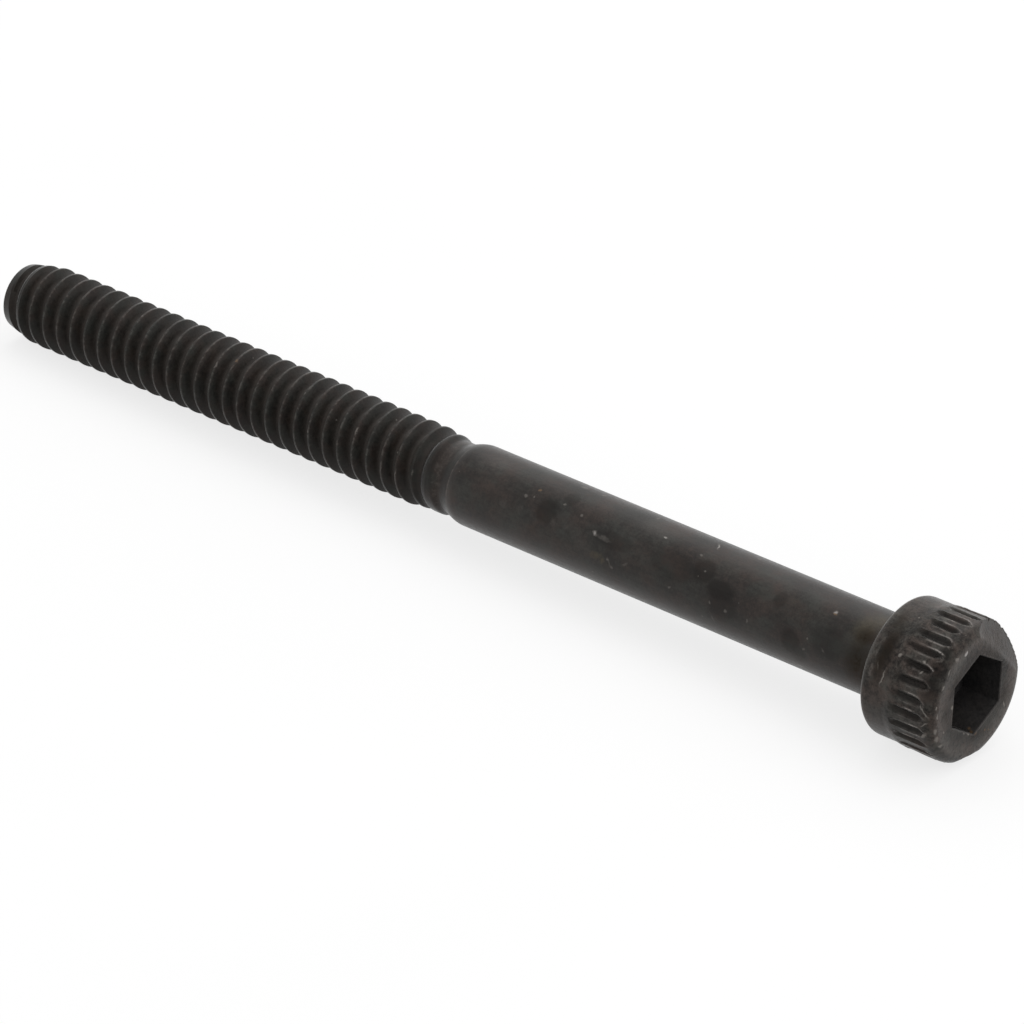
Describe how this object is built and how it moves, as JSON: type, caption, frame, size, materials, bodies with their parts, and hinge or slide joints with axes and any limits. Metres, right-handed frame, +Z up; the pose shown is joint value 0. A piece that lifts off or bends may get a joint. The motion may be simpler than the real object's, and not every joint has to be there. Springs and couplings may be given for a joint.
{
  "type": "socket head cap screw",
  "caption": "Small steel machine screw with a knurled round head, a hexagon socket, a plain shank, a necked-down shoulder and a threaded end with a chamfered tip.",
  "frame": {"origin": "centre of the bearing face under the head, on the screw's axis", "axes": "+Z up; the screw lies on a flat surface with its head towards +X and its tip towards -X, and its axis dips 1.4 degrees towards the tip because the head is wider than the thread"},
  "size_m": [0.0406, 0.0046, 0.0047],
  "materials": {
    "black_oxide_steel": "black oxide over bare steel, dull and lightly handled"
  },
  "bodies": {
    "root": {"cap_screw": "black_oxide_steel"}
  },
  "joints": []
}
